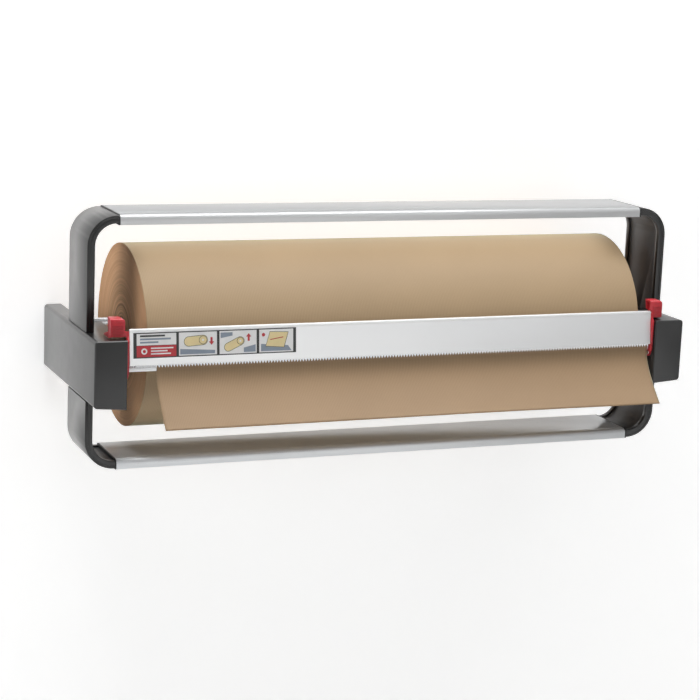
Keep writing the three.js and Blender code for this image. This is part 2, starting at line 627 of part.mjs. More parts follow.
// Hollow of a rail, or a block that fills it, smaller by a gap all round
function railHollow(topZ, gap) {
  const front = ARM_FRONT_Y + RAIL_WALL + gap;
  const rear = ARM_REAR_Y - RAIL_WALL - gap;
  const floor = topZ - RAIL_HEIGHT + RAIL_WALL + gap;
  const roof = topZ - RAIL_WALL - gap;
  return [
    [front, floor],
    [rear, floor],
    [rear, roof],
    [ARM_FRONT_Y + RAIL_NOSE_RADIUS + RAIL_GROOVE_WIDTH + gap, roof],
    [front, topZ - RAIL_NOSE_RADIUS - gap],
  ];
}

function rail(topZ) {
  const x1 = RAIL_HALF_LENGTH;
  const foot = topZ - RAIL_HEIGHT;
  const grooveY = ARM_FRONT_Y + RAIL_NOSE_RADIUS;
  return cut(
    extrudeX(railOutline(topZ), -x1, x1),
    extrudeX(outlineOf(railHollow(topZ, 0)), -x1 - OVERRUN, x1 + OVERRUN),
    box(-x1 - OVERRUN, x1 + OVERRUN, ARM_FRONT_Y + RAIL_LEDGE, ARM_REAR_Y - RAIL_LEDGE,
      foot - OVERRUN, foot + RAIL_WALL + OVERRUN),
    box(-x1 - OVERRUN, x1 + OVERRUN, grooveY, grooveY + RAIL_GROOVE_WIDTH,
      topZ - RAIL_GROOVE_DEPTH, topZ + OVERRUN));
}

// Plug in each end of a rail: a flange that shows as a dark seam, and a block with a pocket
function railPlug(upper) {
  const topZ = upper ? TOP_RAIL_Z : BOTTOM_RAIL_Z;
  const seamX = RAIL_HALF_LENGTH + SEAT_GAP;
  const flange = extrudeX(railOutline(topZ), seamX, seamX + PLUG_FLANGE);
  const block = extrudeX(outlineOf(railHollow(topZ, SEAT_GAP)),
    RAIL_HALF_LENGTH - PLUG_LENGTH, seamX + PLUG_FLANGE / 2);
  const pocket = extrudeY(bentStrip(upper, BAND_OUTER_INSET - SEAT_GAP,
    BAND_INNER_INSET + SEAT_GAP, upper ? HOUSING_TOP : HOUSING_BOTTOM,
    RAIL_HALF_LENGTH - BAND_TONGUE - SEAT_GAP), BAND_FRONT_Y - SEAT_GAP,
  BAND_REAR_Y + SEAT_GAP);
  return cut(join(flange, block), pocket);
}

// Guide bar with a turned spigot at each end, held in the side plates by nuts
function guideBar() {
  const y0 = GUIDE_FRONT_Y;
  const y1 = GUIDE_FRONT_Y + GUIDE_DEPTH;
  const z0 = GUIDE_TOP - GUIDE_HEIGHT;
  const radius = GUIDE_EDGE_RADIUS;
  const outline = new THREE.Shape();
  outline.moveTo(y1, z0);
  outline.lineTo(y1, GUIDE_TOP);
  outline.lineTo(y0 + radius, GUIDE_TOP);
  outline.absarc(y0 + radius, GUIDE_TOP - radius, radius, Math.PI / 2, Math.PI);
  outline.absarc(y0 + radius, z0 + radius, radius, Math.PI, 3 * Math.PI / 2);
  outline.closePath();
  const spigotEnd = PLATE_OUTER_X + SEAT_GAP + GUIDE_NUT_THICKNESS + GUIDE_SPIGOT_PROUD;
  const spigot = rod(GUIDE_SPIGOT_RADIUS, -spigotEnd, spigotEnd, GUIDE_SPIGOT_Y,
    GUIDE_SPIGOT_Z);
  return join(extrudeX(outline, -BAR_HALF_LENGTH, BAR_HALF_LENGTH), spigot);
}

function guideNut() {
  const x0 = PLATE_OUTER_X + SEAT_GAP;
  const x1 = x0 + GUIDE_NUT_THICKNESS;
  return cut(
    rod(GUIDE_NUT_RADIUS, x0, x1, GUIDE_SPIGOT_Y, GUIDE_SPIGOT_Z, HEX_SEGMENTS),
    rod(GUIDE_SPIGOT_RADIUS + SEAT_GAP, x0 - OVERRUN, x1 + OVERRUN, GUIDE_SPIGOT_Y,
      GUIDE_SPIGOT_Z));
}

// Pivot pin, and the torsion spring that is wound round it inside the housing
function pivotPin() {
  const grooveEnd = PIN_OUTER_X - PIN_GROOVE_SETBACK;
  const grooveRadius = PIN_RADIUS - PIN_GROOVE_DEPTH;
  return turned([
    [0, PIN_INNER_X],
    [PIN_RADIUS, PIN_INNER_X],
    [PIN_RADIUS, grooveEnd - PIN_GROOVE_WIDTH],
    [grooveRadius, grooveEnd - PIN_GROOVE_WIDTH],
    [grooveRadius, grooveEnd],
    [PIN_RADIUS, grooveEnd],
    [PIN_RADIUS, PIN_OUTER_X],
    [0, PIN_OUTER_X],
  ], PIVOT_Y, PIVOT_Z, SMALL_SEGMENTS);
}

class TorsionSpringLine extends THREE.Curve {
  getPoint(share) {
    const turns = SPRING_COILS + 1 / 2;
    const woundLength = 2 * Math.PI * SPRING_COIL_RADIUS * turns;
    const along = share * (woundLength + 2 * SPRING_LEG) - SPRING_LEG;
    const wound = Math.min(Math.max(along, 0), woundLength);
    const straight = along - wound;
    const angle = wound / SPRING_COIL_RADIUS;
    return new THREE.Vector3(
      SPRING_X + SPRING_COIL_SPACING * angle / (2 * Math.PI),
      PIVOT_Y - SPRING_COIL_RADIUS * Math.cos(angle) + straight * Math.sin(angle),
      PIVOT_Z + SPRING_COIL_RADIUS * Math.sin(angle) + straight * Math.cos(angle));
  }
}

function returnSpring() {
  const sides = 5;
  const stepsPerCoil = 8;
  const ring = Array.from({ length: sides }, (_, side) => {
    const angle = 2 * Math.PI * side / sides;
    return [SPRING_WIRE_RADIUS * Math.cos(angle), SPRING_WIRE_RADIUS * Math.sin(angle)];
  });
  return new THREE.ExtrudeGeometry(outlineOf(ring), {
    steps: stepsPerCoil * (SPRING_COILS + 2),
    extrudePath: new TorsionSpringLine(),
    bevelEnabled: false,
  });
}

// Places an outline of the bar, drawn as [behind the face, up the face], on its lean
function onBar([behind, up]) {
  return [
    BAR_FOOT_Y + behind * Math.cos(BAR_TILT) + up * Math.sin(BAR_TILT),
    BAR_FOOT_Z - behind * Math.sin(BAR_TILT) + up * Math.cos(BAR_TILT),
  ];
}

function cutterBar() {
  const beadBase = BAR_HEIGHT - BAR_BEAD_HEIGHT;
  const beadMiddle = BAR_HEIGHT - BAR_BEAD_HEIGHT / 2;
  const hookInner = BAR_WALL + BLADE_SLOT;
  const section = [
    [0, 0],
    [0, beadBase],
    [-BAR_BEAD_PROUD, beadBase + BAR_BEAD_PROUD],
    [-BAR_BEAD_PROUD, beadMiddle],
    [0, BAR_HEIGHT - BAR_BEAD_PROUD],
    [BAR_BEAD_DEPTH / 2, BAR_HEIGHT],
    [BAR_BEAD_DEPTH, BAR_HEIGHT - BAR_BEAD_PROUD],
    [BAR_BEAD_DEPTH, beadBase],
    [BAR_WALL, beadBase - BAR_WALL],
    [BAR_WALL, BAR_CHANNEL_TOP],
    [BAR_CHANNEL_DEPTH, BAR_CHANNEL_TOP],
    [BAR_CHANNEL_DEPTH, BAR_CHANNEL_TOP - BAR_WALL],
    [BAR_WALL, BAR_CHANNEL_TOP - BAR_WALL],
    [BAR_WALL, BAR_CHANNEL_BASE + BAR_WALL],
    [BAR_CHANNEL_DEPTH, BAR_CHANNEL_BASE + BAR_WALL],
    [BAR_CHANNEL_DEPTH, BAR_CHANNEL_BASE],
    [hookInner + BAR_HOOK_WALL, BAR_CHANNEL_BASE],
    [hookInner + BAR_HOOK_WALL, BAR_HOOK_TIP],
    [hookInner, BAR_HOOK_TIP],
    [hookInner, BAR_HOOK_TOP],
    [BAR_WALL, BAR_HOOK_TOP],
    [BAR_WALL, 0],
  ];
  return extrudeX(outlineOf(section.map(onBar)), -BAR_HALF_LENGTH, BAR_HALF_LENGTH);
}

// Blade with one straight edge and one row of pointed teeth, drawn in [x, up the face]
function serratedBlade() {
  const pitch = 2 * BLADE_HALF_LENGTH / BLADE_TEETH;
  const rootUp = BLADE_TOOTH_DEPTH - BLADE_TIP_BELOW_BAR;
  const points = [[-BLADE_HALF_LENGTH, rootUp]];
  for (let tooth = 0; tooth < BLADE_TEETH; tooth += 1) {
    const x = -BLADE_HALF_LENGTH + tooth * pitch;
    points.push([x + pitch / 2, -BLADE_TIP_BELOW_BAR], [x + pitch, rootUp]);
  }
  const bladeTop = BAR_HOOK_TOP - SEAT_GAP;
  points.push([BLADE_HALF_LENGTH, bladeTop], [-BLADE_HALF_LENGTH, bladeTop]);
  const geometry = new THREE.ExtrudeGeometry(outlineOf(points),
    { ...plain, depth: BLADE_THICKNESS });
  geometry.rotateX(Math.PI / 2);
  geometry.translate(0, BAR_WALL + SEAT_GAP + BLADE_THICKNESS, 0);
  geometry.rotateX(-BAR_TILT);
  geometry.translate(0, BAR_FOOT_Y, BAR_FOOT_Z);
  return geometry;
}

function instructionLabel() {
  const x0 = LABEL_END_MARGIN - BAR_HALF_LENGTH;
  return extrudeX(outlineOf([
    [-LABEL_GAP, LABEL_BASE],
    [-LABEL_GAP, LABEL_BASE + LABEL_HEIGHT],
    [-LABEL_GAP - LABEL_THICKNESS, LABEL_BASE + LABEL_HEIGHT],
    [-LABEL_GAP - LABEL_THICKNESS, LABEL_BASE],
  ].map(onBar)), x0, x0 + LABEL_LENGTH);
}

// Thumb lever: a hollow ribbed head over the housing and a leg down to the pivot
function headOutline(inset) {
  const front = LEVER_FRONT_Y + inset;
  const top = LEVER_TOP_Z - inset;
  const base = inset > 0 ? HOUSING_TOP - OVERRUN : HOUSING_TOP + LEVER_BASE_LIFT;
  const radius = LEVER_TOP_RADIUS;
  const outline = new THREE.Shape();
  outline.moveTo(front, inset > 0 ? base : HOUSING_TOP + LEVER_FRONT_LIFT);
  outline.lineTo(front + (inset > 0 ? 0 : LEVER_HEEL), base);
  outline.lineTo(LEVER_FRONT_Y + LEVER_WAIST_DEPTH - inset, base);
  outline.lineTo(LEVER_FRONT_Y + LEVER_WAIST_DEPTH - inset, LEVER_WAIST_Z);
  outline.lineTo(LEVER_FRONT_Y + LEVER_TOP_DEPTH - inset, top);
  outline.lineTo(front + radius, top);
  outline.absarc(front + radius, top - radius, radius, Math.PI / 2, Math.PI);
  outline.closePath();
  return outline;
}

// Tool that rounds a head's top corner at a side face; way is 1 for the far side
function cornerCutter(sideX, way) {
  const centreX = sideX - way * LEVER_SIDE_RADIUS;
  const centreZ = LEVER_TOP_Z - LEVER_SIDE_RADIUS;
  const outline = new THREE.Shape();
  outline.moveTo(centreX, LEVER_TOP_Z + OVERRUN);
  outline.lineTo(centreX, LEVER_TOP_Z);
  outline.absarc(centreX, centreZ, LEVER_SIDE_RADIUS, Math.PI / 2, way > 0 ? 0 : Math.PI,
    way > 0);
  outline.lineTo(sideX + way * OVERRUN, centreZ);
  outline.lineTo(sideX + way * OVERRUN, LEVER_TOP_Z + OVERRUN);
  outline.closePath();
  return extrudeY(outline, LEVER_FRONT_Y - OVERRUN, LEVER_FRONT_Y + LEVER_TOP_DEPTH + OVERRUN);
}

// The right lever; the left one is mirrored from it with its own head
function lever(headX, roundedSideX) {
  const headOuterX = headX + LEVER_HEAD_WIDTH;
  const barTop = onBar([0, BAR_HEIGHT])[1] + LEVER_SIDE_GAP;
  const aboveBar = box(headX - OVERRUN, LEVER_PLATE_X, LEVER_FRONT_Y - OVERRUN,
    LEVER_FRONT_Y + LEVER_FIN_DEPTH, 0, barTop);
  const head = cut(
    extrudeX(headOutline(0), headX, headOuterX),
    extrudeX(headOutline(LEVER_WALL), headX - OVERRUN, headOuterX - LEVER_WALL),
    cornerCutter(roundedSideX, roundedSideX > headX ? 1 : -1),
    aboveBar);

  const base = HOUSING_TOP + LEVER_BASE_LIFT;
  const fin = extrudeX(outlineOf([
    [LEVER_FRONT_Y + LEVER_WAIST_DEPTH - LEVER_WALL, base],
    [LEVER_FRONT_Y + LEVER_FIN_DEPTH, base],
    [LEVER_FRONT_Y + LEVER_FIN_DEPTH, base + LEVER_FIN_THICKNESS],
    [LEVER_FRONT_Y + LEVER_WAIST_DEPTH - LEVER_WALL, LEVER_WAIST_Z],
  ]), headOuterX - LEVER_WALL, headOuterX);

  const legRear = LEVER_LEG_FRONT_Y + LEVER_LEG_DEPTH;
  const legTop = HOUSING_TOP + LEVER_FRONT_LIFT;
  const shoulder = [
    [LEVER_FRONT_Y + LEVER_WAIST_DEPTH - LEVER_WALL, legTop],
    [LEVER_FRONT_Y + LEVER_WALL, LEVER_WAIST_Z],
    [LEVER_FRONT_Y, LEVER_WAIST_Z],
    [LEVER_FRONT_Y, legTop],
  ];
  const leg = extrudeX(outlineOf([
    [PIVOT_Y - LEVER_BOSS_RADIUS, PIVOT_Z],
    [PIVOT_Y, PIVOT_Z],
    [legRear, PIVOT_Z + LEVER_BOSS_RADIUS],
    [legRear, 0],
    ...shoulder,
    [LEVER_LEG_FRONT_Y, 0],
    [LEVER_LEG_FRONT_Y, PIVOT_Z + LEVER_BOSS_RADIUS],
  ]), LEVER_PLATE_X, LEVER_PLATE_OUTER_X);
  const web = extrudeX(outlineOf(shoulder), LEVER_PLATE_X,
    Math.max(headX, LEVER_PLATE_OUTER_X) + LEVER_WALL);
  const boss = rod(LEVER_BOSS_RADIUS, LEVER_PLATE_X, LEVER_PLATE_OUTER_X, PIVOT_Y, PIVOT_Z,
    ROUND_SEGMENTS);
  const [upperBossY, upperBossZ] = onBar([
    (BAR_WALL + BAR_CHANNEL_DEPTH) / 2, (BAR_CHANNEL_BASE + BAR_CHANNEL_TOP) / 2]);
  const upperBoss = rod(LEVER_BOSS_RADIUS, LEVER_PLATE_X, LEVER_PLATE_OUTER_X, upperBossY,
    upperBossZ, ROUND_SEGMENTS);
  const pinHole = rod(PIN_RADIUS + SEAT_GAP, LEVER_PLATE_X - OVERRUN,
    LEVER_PLATE_OUTER_X + OVERRUN, PIVOT_Y, PIVOT_Z, ROUND_SEGMENTS);

  const spigot = extrudeX(outlineOf([
    [BAR_WALL + LEVER_SPIGOT_GAP, BAR_CHANNEL_BASE + BAR_WALL + LEVER_SPIGOT_GAP],
    [BAR_CHANNEL_DEPTH, BAR_CHANNEL_BASE + BAR_WALL + LEVER_SPIGOT_GAP],
    [BAR_CHANNEL_DEPTH, BAR_CHANNEL_TOP - BAR_WALL - LEVER_SPIGOT_GAP],
    [BAR_WALL + LEVER_SPIGOT_GAP, BAR_CHANNEL_TOP - BAR_WALL - LEVER_SPIGOT_GAP],
  ].map(onBar)), LEVER_PLATE_OUTER_X - LEVER_SPIGOT_LENGTH, LEVER_PLATE_OUTER_X);

  const ribs = Array.from({ length: LEVER_RIB_COUNT }, (_, rib) => {
    const z = legTop + LEVER_RIB_BASE + rib * LEVER_RIB_SPACING;
    return box(Math.max(headX, LEVER_PLATE_X) + LEVER_RIB_MARGIN,
      headOuterX - LEVER_RIB_MARGIN, LEVER_FRONT_Y - LEVER_RIB_PROUD,
      LEVER_FRONT_Y + LEVER_WALL / 2, z, z + LEVER_RIB_HEIGHT);
  });
  return cut(join(head, fin, leg, web, boss, upperBoss, spigot, ...ribs), pinHole);
}

// Axle, core and roll
function axleRod() {
  const end = AXLE_HALF_LENGTH;
  return turned([
    [0, -end],
    [AXLE_RADIUS - AXLE_CHAMFER, -end],
    [AXLE_RADIUS, -end + AXLE_CHAMFER],
    [AXLE_RADIUS, end - AXLE_CHAMFER],
    [AXLE_RADIUS - AXLE_CHAMFER, end],
    [0, end],
  ], AXLE_Y, 0);
}

function cardboardCore() {
  return sleeve(CORE_BORE_RADIUS, CORE_BORE_RADIUS + CORE_WALL, ROLL_SHIFT - ROLL_LENGTH / 2,
    ROLL_SHIFT + ROLL_LENGTH / 2, AXLE_Y, ROLL_Z, 2 * ROUND_SEGMENTS);
}

function paperRoll() {
  return sleeve(CORE_BORE_RADIUS + CORE_WALL + SEAT_GAP, ROLL_RADIUS,
    ROLL_SHIFT - ROLL_LENGTH / 2, ROLL_SHIFT + ROLL_LENGTH / 2, AXLE_Y, ROLL_Z, ROLL_SEGMENTS);
}

// The sheet leaves the roll on a tangent, bends over the guide bar and curls forward
function sheetMiddleLine() {
  const guide = new THREE.Vector2(
    GUIDE_FRONT_Y - SHEET_GUIDE_CLEARANCE - SHEET_THICKNESS / 2, GUIDE_TOP - GUIDE_EDGE_RADIUS);
  const toRoll = new THREE.Vector2(AXLE_Y, ROLL_Z).sub(guide);
  const reach = toRoll.length();
  const rollRadius = ROLL_RADIUS + SEAT_GAP + SHEET_THICKNESS / 2;
  const tangentLength = Math.sqrt(reach ** 2 - rollRadius ** 2);
  const tangentAngle = toRoll.angle() + Math.asin(rollRadius / reach);
  const upTangent = new THREE.Vector2(Math.cos(tangentAngle), Math.sin(tangentAngle));
  const start = guide.clone().addScaledVector(upTangent, tangentLength - SHEET_START_DROP);
  const belowGuide = new THREE.Vector2(guide.x, GUIDE_TOP - GUIDE_HEIGHT);
  const end = new THREE.Vector2(SHEET_END_Y, SHEET_END_Z);
  const flap = new THREE.QuadraticBezierCurve(belowGuide,
    new THREE.Vector2(guide.x, (2 * belowGuide.y + end.y) / 3), end);
  return [start, guide, ...flap.getPoints(SHEET_STEPS)];
}

function paperSheet() {
  const line = sheetMiddleLine();
  const sideOf = (way) => line.map((point, index) => {
    const before = line[Math.max(index - 1, 0)];
    const after = line[Math.min(index + 1, line.length - 1)];
    const along = after.clone().sub(before).normalize();
    return [
      point.x - way * along.y * SHEET_THICKNESS / 2,
      point.y + way * along.x * SHEET_THICKNESS / 2,
    ];
  });
  return extrudeX(outlineOf([...sideOf(1), ...sideOf(-1).reverse()]),
    SHEET_SHIFT - ROLL_LENGTH / 2, SHEET_SHIFT + ROLL_LENGTH / 2);
}

// Assembly
const dispenser = new THREE.Group();

function add(name, geometry, finish) {
  const mesh = new THREE.Mesh(geometry, finish.clone());
  mesh.name = name;
  dispenser.add(mesh);
}

function addPair(name, geometry, finish) {
  add(`right_${name}`, geometry, finish);
  add(`left_${name}`, mirrored(geometry), finish);
}

addPair('housing', housing(), housingGrey);
addPair('side_plate', sidePlate(), plateBlack);
addPair('upper_plate_screw', plateScrew(POST_HEIGHTS[0]), steel);
addPair('lower_plate_screw', plateScrew(POST_HEIGHTS[1]), steel);
addPair('axle_saddle', axleSaddle(), trimBlack);
addPair('wall_bracket', wallBracket(), steel);
addPair('bracket_screw', bracketScrew(), steel);
for (const [level, upper] of [['upper', true], ['lower', false]]) {
  addPair(`${level}_arm_band`, armBand(upper), bandBlack);
  addPair(`${level}_arm_shell`, armShell(upper), trimBlack);
  addPair(`${level}_arm_screw`, armScrew(upper), steel);
  addPair(`${level}_rail_plug`, railPlug(upper), trimBlack);
}
add('top_rail', rail(TOP_RAIL_Z), aluminium);
add('bottom_rail', rail(BOTTOM_RAIL_Z), aluminium);
add('guide_bar', guideBar(), aluminium);
addPair('guide_nut', guideNut(), steel);
addPair('return_spring', returnSpring(), steel);
add('paper_sheet', paperSheet(), kraft);
add('cutter_bar', cutterBar(), aluminium);
add('serrated_blade', serratedBlade(), steel);
add('instruction_label', instructionLabel(), labelWhite);
const rightHeadX = HOUSING_INNER_X - RIGHT_HEAD_OVERHANG;
const leftHeadX = HOUSING_INNER_X + LEFT_HEAD_SETOUT;
add('right_lever', lever(rightHeadX, rightHeadX + LEVER_HEAD_WIDTH), leverRed);
add('left_lever', mirrored(lever(leftHeadX, leftHeadX)), leverRed);
addPair('pivot_pin', pivotPin(), steel);
add('axle_rod', axleRod(), steel);
add('cardboard_core', cardboardCore(), cardboard);
add('paper_roll', paperRoll(), kraft);

export default dispenser;
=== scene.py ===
"""Gift wrap dispenser on a wall: finishes for the solid pieces, the kraft roll, its loose end
and the label, a plain room, light and camera. Lengths are metres in the model's own frame."""
import math
import random

import bpy
from mathutils import Matrix, Vector, noise


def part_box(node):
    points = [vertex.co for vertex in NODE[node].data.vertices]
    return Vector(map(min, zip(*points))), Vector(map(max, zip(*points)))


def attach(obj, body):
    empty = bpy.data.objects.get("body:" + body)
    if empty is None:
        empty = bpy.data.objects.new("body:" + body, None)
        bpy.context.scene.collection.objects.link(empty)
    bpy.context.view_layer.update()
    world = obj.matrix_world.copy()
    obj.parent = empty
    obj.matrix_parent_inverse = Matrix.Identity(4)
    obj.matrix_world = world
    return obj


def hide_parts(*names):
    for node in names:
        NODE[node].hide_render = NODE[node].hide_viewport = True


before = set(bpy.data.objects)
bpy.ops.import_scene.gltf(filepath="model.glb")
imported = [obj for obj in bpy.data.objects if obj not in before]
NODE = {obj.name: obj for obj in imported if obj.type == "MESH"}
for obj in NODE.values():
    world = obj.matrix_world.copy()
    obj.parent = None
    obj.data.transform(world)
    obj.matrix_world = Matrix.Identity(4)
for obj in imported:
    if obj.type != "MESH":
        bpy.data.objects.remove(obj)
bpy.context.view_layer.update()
MM = 0.001

# The colour sockets of a mix node go by number, because its other kinds share their names
MIX_FIRST, MIX_SECOND, MIX_RESULT = 6, 7, 2


# Node trees
def feed(tree, socket, value):
    """Links the socket that the value comes from, or sets the plain value."""
    if isinstance(value, bpy.types.NodeSocket):
        tree.links.new(value, socket)
    else:
        socket.default_value = value


def maths_node(tree, operation, *values):
    node = tree.nodes.new("ShaderNodeMath")
    node.operation = operation
    for socket, value in zip(node.inputs, values):
        feed(tree, socket, value)
    return node.outputs["Value"]


def opaque(value):
    """A colour of three channels gets its fourth, and any other value stays as it is."""
    if isinstance(value, tuple) and len(value) == 3:
        return (*value, 1.0)
    return value


def shade(colour, share):
    return tuple(channel * share for channel in colour)


class Finish:
    """A material of one principled shader, with short calls for the nodes that feed it."""

    def __init__(self, name, **sockets):
        self.material = bpy.data.materials.new(name)
        self.material.use_nodes = True
        self.tree = self.material.node_tree
        self.tree.nodes.clear()
        self.output = self.add("ShaderNodeOutputMaterial")
        self.shader = self.add("ShaderNodeBsdfPrincipled")
        self.tree.links.new(self.shader.outputs["BSDF"], self.output.inputs["Surface"])
        self.place = self.add("ShaderNodeTexCoord").outputs["Object"]
        self.set(**sockets)

    def add(self, kind, **values):
        node = self.tree.nodes.new(kind)
        for key, value in values.items():
            setattr(node, key, value)
        return node

    def feed(self, socket, value):
        feed(self.tree, socket, value)

    def set(self, **sockets):
        """Sets the shader's sockets by their names, with an underscore for each space."""
        for name, value in sockets.items():
            self.feed(self.shader.inputs[name.replace("_", " ")], opaque(value))

    def scaled(self, scale):
        """The place on the piece, stretched by one factor along each axis."""
        node = self.add("ShaderNodeMapping")
        self.feed(node.inputs["Scale"], scale)
        self.feed(node.inputs["Vector"], self.place)
        return node.outputs["Vector"]

    def noise(self, scale, detail=3.0, where=None, rough=0.5):
        node = self.add("ShaderNodeTexNoise")
        self.feed(node.inputs["Vector"], where or self.place)
        for socket, value in (("Scale", scale), ("Detail", detail), ("Roughness", rough)):
            self.feed(node.inputs[socket], value)
        return node.outputs["Fac"]

    def ramp(self, value, start, end):
        """Goes from one colour or share to another, each at its position along the value."""
        node = self.add("ShaderNodeValToRGB")
        for element, (position, colour) in zip(node.color_ramp.elements, (start, end)):
            if not isinstance(colour, tuple):
                colour = (colour, colour, colour)
            element.position = position
            element.color = opaque(colour)
        self.feed(node.inputs["Fac"], value)
        return node.outputs["Color"]

    def maths(self, operation, *values):
        return maths_node(self.tree, operation, *values)

    def mix(self, factor, first, second):
        node = self.add("ShaderNodeMix", data_type="RGBA")
        self.feed(node.inputs["Factor"], factor)
        self.feed(node.inputs[MIX_FIRST], opaque(first))
        self.feed(node.inputs[MIX_SECOND], opaque(second))
        return node.outputs[MIX_RESULT]

    def apart(self, vector):
        node = self.add("ShaderNodeSeparateXYZ")
        self.feed(node.inputs["Vector"], vector)
        return node.outputs

    def bump(self, height, strength, depth):
        """Adds a relief on top of those that the shader has already."""
        node = self.add("ShaderNodeBump")
        for socket, value in (("Strength", strength), ("Distance", depth), ("Height", height)):
            self.feed(node.inputs[socket], value)
        previous = self.shader.inputs["Normal"].links
        if previous:
            self.feed(node.inputs["Normal"], previous[0].from_socket)
        self.set(Normal=node.outputs["Normal"])


# Finishes. The scales of noise are in waves per metre, roughly.
COAT_ROUGHNESS = 0.30
DRIFT_SCALE = 14.0
GLOSS_SCALE = 45.0
CLOUD_SCALE = 9.0
GRAIN_STRENGTH = 0.35
STREAK_STRENGTH = 0.03
STREAK_DEPTH = 0.006 * MM


def moulded(name, colour, roughness, grain=900.0, depth=0.03 * MM, specular=0.5, coat=0.0):
    """Moulded plastic or powder coat: fine grain, slow colour drift and uneven gloss."""
    finish = Finish(name, Coat_Weight=coat, Coat_Roughness=COAT_ROUGHNESS)
    drift = finish.noise(DRIFT_SCALE, 4.0)
    gloss = finish.noise(GLOSS_SCALE, 5.0)
    finish.set(
        Base_Color=finish.ramp(drift, (0.3, shade(colour, 0.86)), (0.7, shade(colour, 1.14))),
        Roughness=finish.ramp(gloss, (0.3, roughness - 0.02), (0.7, roughness + 0.025)),
        Specular_IOR_Level=specular)
    finish.bump(finish.noise(grain, 2.0), GRAIN_STRENGTH, depth)
    return finish


def brushed(name, colour, roughness, along=(3.0, 700.0, 700.0), metal=1.0, specular=0.5,
            front=1.0):
    """Metal drawn along one direction, with streaks in its gloss and a fine relief. Faces that
    look forward, such as a lip, have the front share of its colour: painted light, as the
    lamps above light them less."""
    finish = Finish(name, Metallic=metal)
    streaks = finish.noise(1.0, 6.0, finish.scaled(along), 0.65)
    cloud = finish.ramp(finish.noise(CLOUD_SCALE, 3.0), (0.35, 0.0), (0.7, 0.3))
    tint = finish.ramp(streaks, (0.25, shade(colour, 0.975)), (0.75, shade(colour, 1.02)))
    normal = finish.apart(finish.add("ShaderNodeTexCoord").outputs["Normal"])
    # Painted light: faces that look forward get the front share of the colour
    forward = finish.ramp(finish.maths("MULTIPLY", normal["Y"], -1.0), (0.35, 0.0), (0.75, 1.0))
    finish.set(
        Base_Color=finish.mix(forward, finish.mix(cloud, tint, shade(colour, 0.95)),
                              shade(colour, front)),
        Roughness=finish.ramp(streaks, (0.2, roughness - 0.015), (0.8, roughness + 0.02)),
        Specular_IOR_Level=specular)
    finish.bump(streaks, STREAK_STRENGTH, STREAK_DEPTH)
    return finish


HOUSING_DARK = (0.009, 0.009, 0.0095)
ARM_DARK = (0.008, 0.008, 0.008)
# Paler than the shells' dark paint: painted light, for the grey that the inner faces of the arms
# reflect
BAND_LIT_GREY = (0.085, 0.086, 0.088)
PLATE_DARK = (0.020, 0.020, 0.021)
RAIL_ALUMINIUM = (0.39, 0.395, 0.40)
# The rails are one metal, and this colour is paler to make up for the shade of the roll
LOW_RAIL_ALUMINIUM = (0.85, 0.875, 0.90)
BAR_ALUMINIUM = (0.90, 0.91, 0.92)
STEEL = (0.74, 0.75, 0.76)
ZINC = (0.62, 0.64, 0.66)
RED = (0.53, 0.028, 0.040)

housing_finish = moulded("housing", HOUSING_DARK, 0.34, specular=0.35, coat=0.5)
arm_finish = moulded("arm_shell", ARM_DARK, 0.32, specular=0.35, coat=0.55)
band_finish = moulded("arm_band", BAND_LIT_GREY, 0.50, specular=0.40, coat=0.25)
plate_finish = moulded("side_plate", PLATE_DARK, 0.45)
lever_finish = moulded("lever_red", RED, 0.33, grain=1400.0, depth=0.01 * MM)
# Painted light: the top rail's forward faces, such as its lip, are 1.75 times as pale as its top
rail_finish = brushed("rail_aluminium", RAIL_ALUMINIUM, 0.30, metal=0.30, specular=0.1,
                      front=1.75)
low_rail_finish = brushed("low_rail_aluminium", LOW_RAIL_ALUMINIUM, 0.28, metal=0.25)
bar_finish = brushed("bar_aluminium", BAR_ALUMINIUM, 0.38, metal=0.50)
blade_finish = brushed("blade_steel", STEEL, 0.24, along=(500.0, 40.0, 40.0))
steel_finish = brushed("steel", STEEL, 0.24, along=(2.0, 500.0, 500.0))
bracket_finish = brushed("zinc", ZINC, 0.38, along=(60.0, 60.0, 60.0))

KRAFT = (0.445, 0.316, 0.186)
# The loose end's paper is darker and browner than the roll's: partly its own colour, partly painted
# shade
KRAFT_LOOSE = (0.390, 0.260, 0.150)
# Set for the yellow that the photograph has along the top of the roll
KRAFT_SHEEN = (0.96, 1.0, 0.74)
RIBS_PER_METRE = 440.0
# A wave texture of scale 1 has 10 / pi waves in a metre
RIB_SCALE = RIBS_PER_METRE * math.pi / 10
RIB_DEPTH = 0.12 * MM
FIBRE_SCALE = (1500.0, 500.0, 500.0)
FIBRE_DEPTH = 0.03 * MM
PATCH_SCALE = 5.0


